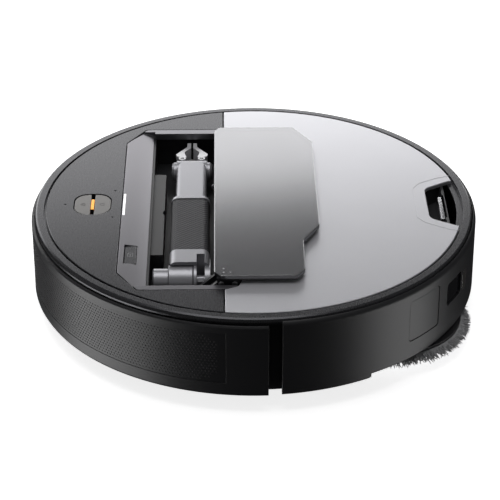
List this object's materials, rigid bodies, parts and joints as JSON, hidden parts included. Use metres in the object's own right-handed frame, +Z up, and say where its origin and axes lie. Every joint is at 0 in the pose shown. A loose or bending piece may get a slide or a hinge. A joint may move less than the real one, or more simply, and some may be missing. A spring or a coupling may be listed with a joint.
{
  "type": "robot vacuum",
  "caption": "Round robot vacuum and mop with a sliding top flap, a fold-out gripper arm in the deck, sprung bumper, drive wheels, brush rollers and spinning mop pads.",
  "frame": {"origin": "on the floor below the middle of the round body", "axes": "+X forwards to the bumper, +Y to the robot's left, +Z up"},
  "size_m": [0.35, 0.35, 0.086],
  "materials": {
    "dark_shell": "satin",
    "deck_dark": "satin",
    "deck_silver": "satin",
    "bezel_metal": "gloss",
    "gloss_black": "gloss",
    "arm_silver": "satin",
    "jaw_silver": "satin",
    "sleeve_rubber": "matte",
    "smoked_glass": "gloss",
    "light_white": "gloss",
    "button_metal": "satin",
    "chrome": "gloss",
    "contact_metal": "satin",
    "screw_steel": "satin",
    "battery_wrap": "matte",
    "board_green": "matte",
    "clear_plastic": "gloss",
    "filter_paper": "matte",
    "tyre_rubber": "matte",
    "hub_plastic": "satin",
    "roller_rubber": "matte",
    "bristle": "matte",
    "mop_fabric": "matte"
  },
  "bodies": {
    "chassis": {"chassis_base": "dark_shell", "upper_ring": "deck_dark", "rear_side_shell": "dark_shell", "front_top_panel": "deck_dark", "rear_cover": "deck_silver", "finger_bowl": "dark_shell", "arm_tray": "dark_shell", "tray_bezel": "bezel_metal", "status_light": "light_white", "button_frame": "dark_shell", "side_hatch_panel": "dark_shell", "dock_window": "gloss_black", "charging_contacts": "contact_metal", "battery_pack": "battery_wrap", "underside_cover": "dark_shell", "cover_screws": "screw_steel", "main_board": "board_green", "suction_fan": "dark_shell", "dust_bin": "clear_plastic", "dust_filter": "filter_paper", "water_tank": "clear_plastic", "cliff_sensors": "gloss_black", "side_brush_motor": "dark_shell", "roller_gearbox": "dark_shell", "flap_hinge_mount": "dark_shell", "shoulder_motor": "arm_silver"},
    "bumper": {"bumper": "dark_shell", "bumper_window": "gloss_black"},
    "home_button": {"home_button": "button_metal"},
    "power_button": {"power_button": "button_metal"},
    "bezel_button": {"bezel_button": "deck_dark"},
    "release_catch": {"release_catch": "chrome"},
    "flap_links_main": {"flap_links_front": "dark_shell"},
    "flap_links_second": {"flap_links_rear": "dark_shell"},
    "flap": {"flap_glass": "smoked_glass", "flap_bracket": "dark_shell"},
    "arm": {"forearm_core": "arm_silver", "grip_sleeve": "sleeve_rubber", "wrist_block": "arm_silver"},
    "gripper": {"gripper_palm": "dark_shell"},
    "jaw_left": {"jaw_left": "jaw_silver"},
    "jaw_right": {"jaw_right": "jaw_silver"},
    "wheel_arm_left": {"wheel_arm_left": "dark_shell"},
    "wheel_left": {"wheel_hub_left": "hub_plastic", "wheel_tyre_left": "tyre_rubber"},
    "wheel_arm_right": {"wheel_arm_right": "dark_shell"},
    "wheel_right": {"wheel_hub_right": "hub_plastic", "wheel_tyre_right": "tyre_rubber"},
    "roller_front": {"roller_front": "roller_rubber"},
    "roller_rear": {"roller_rear": "roller_rubber"},
    "caster": {"caster_fork": "dark_shell"},
    "caster_wheel": {"caster_wheel": "tyre_rubber"},
    "side_brush": {"side_brush_hub": "dark_shell", "side_brush_bristles": "bristle"},
    "mop_motor_left": {"mop_motor_left": "dark_shell"},
    "mop_left": {"mop_plate_left": "dark_shell", "mop_pad_left": "mop_fabric"},
    "mop_motor_right": {"mop_motor_right": "dark_shell"},
    "mop_right": {"mop_plate_right": "dark_shell", "mop_pad_right": "mop_fabric"}
  },
  "joints": [
    {"name": "bumper_press", "type": "slide", "parent": "chassis", "child": "bumper", "axis": [-1, 0, 0], "range_m": [0, 0.0033], "stiffness_N_per_m": 500},
    {"name": "home_press", "type": "slide", "parent": "chassis", "child": "home_button", "axis": [0, 0, -1], "range_m": [0, 0.0008], "stiffness_N_per_m": 300},
    {"name": "power_press", "type": "slide", "parent": "chassis", "child": "power_button", "axis": [0, 0, -1], "range_m": [0, 0.0008], "stiffness_N_per_m": 300},
    {"name": "bezel_button_press", "type": "slide", "parent": "chassis", "child": "bezel_button", "axis": [0, 0, -1], "range_m": [0, 0.0006], "stiffness_N_per_m": 300},
    {"name": "catch_press", "type": "slide", "parent": "chassis", "child": "release_catch", "axis": [-1, 0, 0], "range_m": [0, 0.0015], "stiffness_N_per_m": 300},
    {"name": "flap_close", "type": "hinge", "parent": "chassis", "child": "flap_links_main", "pos_m": [0.048, 0.11, 0.058], "axis": [0, -1, 0], "range_deg": [-110.9, 0]},
    {"name": "flap_level", "type": "hinge", "parent": "flap_links_main", "child": "flap", "pos_m": [0.02574, 0.11, 0.07811], "axis": [0, -1, 0], "range_deg": [0, 110.9]},
    {"name": "flap_second_link", "type": "hinge", "parent": "chassis", "child": "flap_links_second", "pos_m": [0.038, 0.11, 0.058], "axis": [0, -1, 0], "range_deg": [-110.9, 0]},
    {"name": "arm_raise", "type": "hinge", "parent": "chassis", "child": "arm", "pos_m": [0.05, 0.086, 0.06], "axis": [-1, 0, 0], "range_deg": [0, 80]},
    {"name": "gripper_roll", "type": "hinge", "parent": "arm", "child": "gripper", "pos_m": [0.0498, -0.085, 0.065], "axis": [0, 1, 0], "range_deg": [0, 180]},
    {"name": "jaw_left_open", "type": "hinge", "parent": "gripper", "child": "jaw_left", "pos_m": [0.0578, -0.0925, 0.065], "axis": [0, 0, 1], "range_deg": [0, 25]},
    {"name": "jaw_right_open", "type": "hinge", "parent": "gripper", "child": "jaw_right", "pos_m": [0.0418, -0.0925, 0.065], "axis": [0, 0, 1], "range_deg": [-25, 0]},
    {"name": "suspension_left", "type": "hinge", "parent": "chassis", "child": "wheel_arm_left", "pos_m": [0.015, 0.1015, 0.034], "axis": [0, -1, 0], "range_deg": [0, 14], "stiffness_Nm_per_rad": 0.3, "springref_deg": 28.65},
    {"name": "wheel_spin_left", "type": "hinge", "parent": "wheel_arm_left", "child": "wheel_left", "pos_m": [-0.03, 0.122, 0.03], "axis": [0, 1, 0], "continuous": true},
    {"name": "suspension_right", "type": "hinge", "parent": "chassis", "child": "wheel_arm_right", "pos_m": [0.015, -0.1015, 0.034], "axis": [0, -1, 0], "range_deg": [0, 14], "stiffness_Nm_per_rad": 0.3, "springref_deg": 28.65},
    {"name": "wheel_spin_right", "type": "hinge", "parent": "wheel_arm_right", "child": "wheel_right", "pos_m": [-0.03, -0.122, 0.03], "axis": [0, 1, 0], "continuous": true},
    {"name": "roller_front_spin", "type": "hinge", "parent": "chassis", "child": "roller_front", "pos_m": [0.049, 0, 0.018], "axis": [0, 1, 0], "continuous": true},
    {"name": "roller_rear_spin", "type": "hinge", "parent": "chassis", "child": "roller_rear", "pos_m": [0.016, 0, 0.018], "axis": [0, 1, 0], "continuous": true},
    {"name": "caster_swivel", "type": "hinge", "parent": "chassis", "child": "caster", "pos_m": [0.125, 0, 0.03], "axis": [0, 0, 1], "continuous": true},
    {"name": "caster_roll", "type": "hinge", "parent": "caster", "child": "caster_wheel", "pos_m": [0.12, 0, 0.01], "axis": [0, 1, 0], "continuous": true},
    {"name": "side_brush_spin", "type": "hinge", "parent": "chassis", "child": "side_brush", "pos_m": [0.098, -0.108, 0.015], "axis": [0, 0, 1], "continuous": true},
    {"name": "mop_lift_left", "type": "slide", "parent": "chassis", "child": "mop_motor_left", "axis": [0, 0, -1], "range_m": [0, 0.009]},
    {"name": "mop_spin_left", "type": "hinge", "parent": "mop_motor_left", "child": "mop_left", "pos_m": [-0.101, 0.0645, 0.017], "axis": [0, 0, 1], "continuous": true},
    {"name": "mop_lift_right", "type": "slide", "parent": "chassis", "child": "mop_motor_right", "axis": [0, 0, -1], "range_m": [0, 0.009]},
    {"name": "mop_spin_right", "type": "hinge", "parent": "mop_motor_right", "child": "mop_right", "pos_m": [-0.101, -0.0645, 0.017], "axis": [0, 0, 1], "continuous": true}
  ],
  "couplings": [
    {"joint": "flap_level", "follows": "flap_close", "ratio": -1},
    {"joint": "flap_second_link", "follows": "flap_close", "ratio": 1},
    {"joint": "jaw_right_open", "follows": "jaw_left_open", "ratio": -1},
    {"joint": "roller_rear_spin", "follows": "roller_front_spin", "ratio": -1},
    {"joint": "mop_lift_right", "follows": "mop_lift_left", "ratio": 1},
    {"joint": "mop_spin_right", "follows": "mop_spin_left", "ratio": -1}
  ]
}
